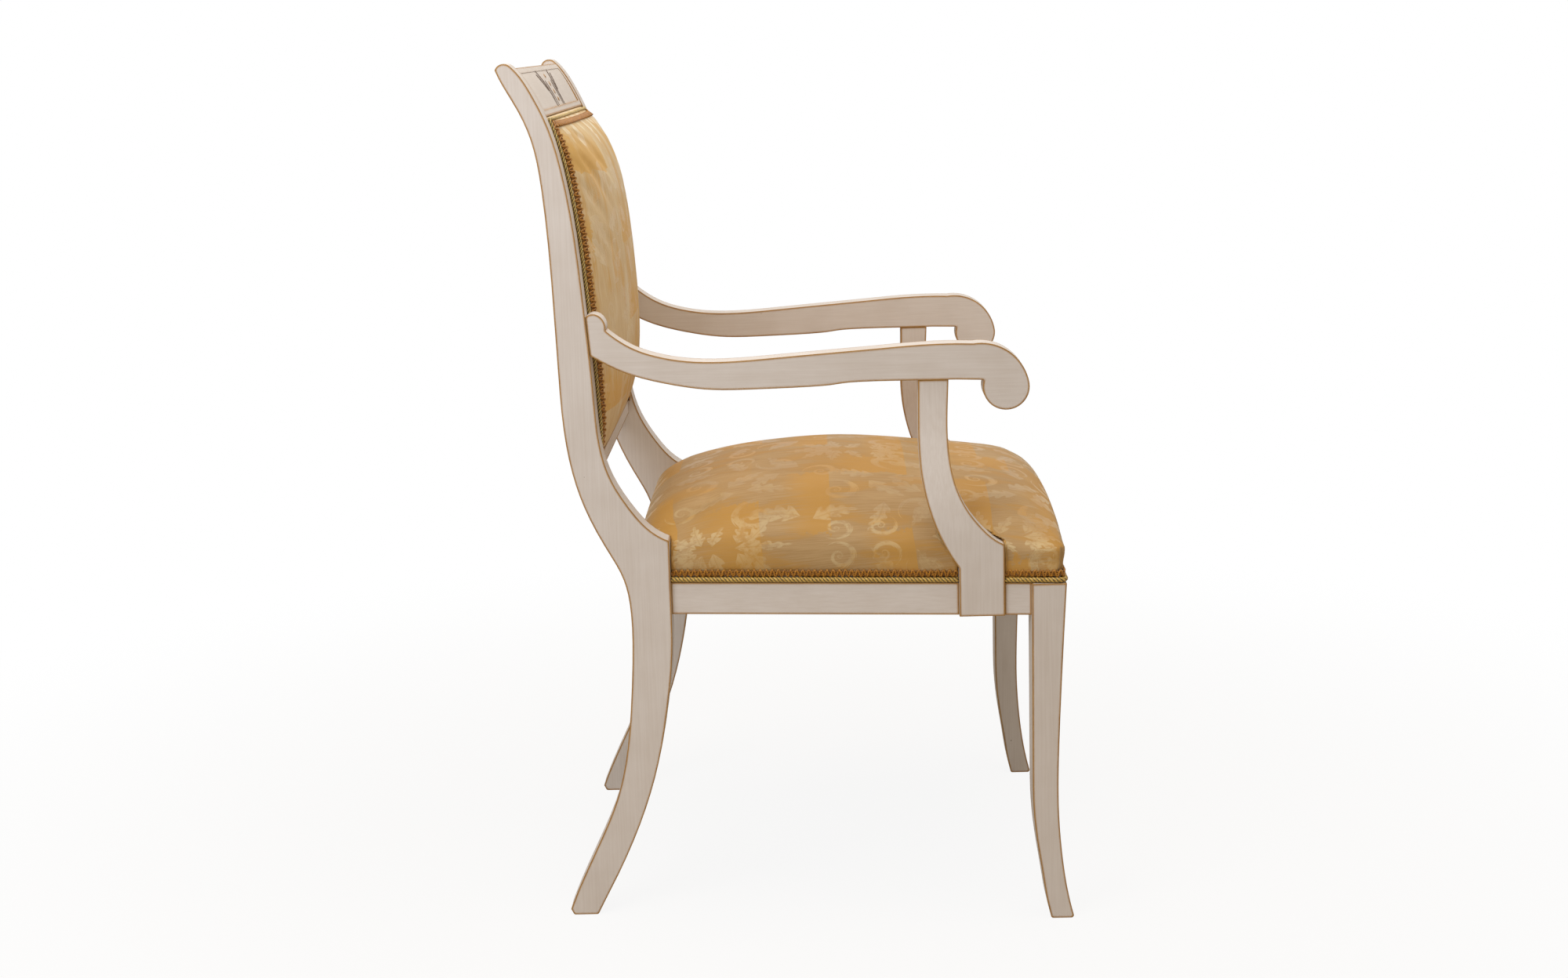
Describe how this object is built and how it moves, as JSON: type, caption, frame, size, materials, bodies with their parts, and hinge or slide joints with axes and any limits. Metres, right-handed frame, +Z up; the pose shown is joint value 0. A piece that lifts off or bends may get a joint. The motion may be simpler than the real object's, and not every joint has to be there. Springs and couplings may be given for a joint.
{
  "type": "dining armchair",
  "caption": "Painted wooden dining armchair with sabre legs, scrolled arms, a rolled-back crest and a damask seat and back trimmed with cord and braid.",
  "frame": {"origin": "centre of the overall box, on the floor", "axes": "+Z up, -Y is the front of the chair, the way the sitter faces, and +X is the sitter's left"},
  "size_m": [0.55, 0.6259, 0.9852],
  "materials": {
    "painted_beech": "satin warm grey-cream paint with worn gold-brown lines along the edges",
    "bare_beech": "planed, unfinished",
    "plywood": "sanded, unfinished",
    "damask": "woven damask in sand, gold and cream",
    "gimp": "looped braid in golden brown",
    "cord": "twisted rayon cord in gold",
    "webbing": "woven jute webbing",
    "hessian": "plain-woven jute",
    "dust_cloth": "black non-woven cloth",
    "foam": "cut polyurethane foam",
    "steel": "zinc plated"
  },
  "bodies": {
    "root": {"arm_dowels": "bare_beech", "arm_post_screws": "steel", "back_foam": "foam", "back_front_cover": "damask", "back_gimp_braid": "gimp", "back_panel": "plywood", "back_rail_dowels": "bare_beech", "back_rear_cover": "damask", "back_rear_gimp_braid": "gimp", "back_twist_cord": "cord", "corner_block_screws": "steel", "crest_rail": "painted_beech", "dust_cover": "dust_cloth", "front_seat_rail": "painted_beech", "left_arm": "painted_beech", "left_arm_post": "painted_beech", "left_back_post": "painted_beech", "left_front_corner_block": "bare_beech", "left_front_leg": "painted_beech", "left_rear_corner_block": "bare_beech", "left_seat_rail": "painted_beech", "lower_back_rail": "painted_beech", "rear_seat_rail": "painted_beech", "right_arm": "painted_beech", "right_arm_post": "painted_beech", "right_back_post": "painted_beech", "right_front_corner_block": "bare_beech", "right_front_leg": "painted_beech", "right_rear_corner_block": "bare_beech", "right_seat_rail": "painted_beech", "seat_cover": "damask", "seat_foam": "foam", "seat_gimp_braid": "gimp", "seat_hessian": "hessian", "seat_rail_dowels": "bare_beech", "seat_twist_cord": "cord", "seat_webbing_cross": "webbing", "seat_webbing_long": "webbing"}
  },
  "joints": []
}
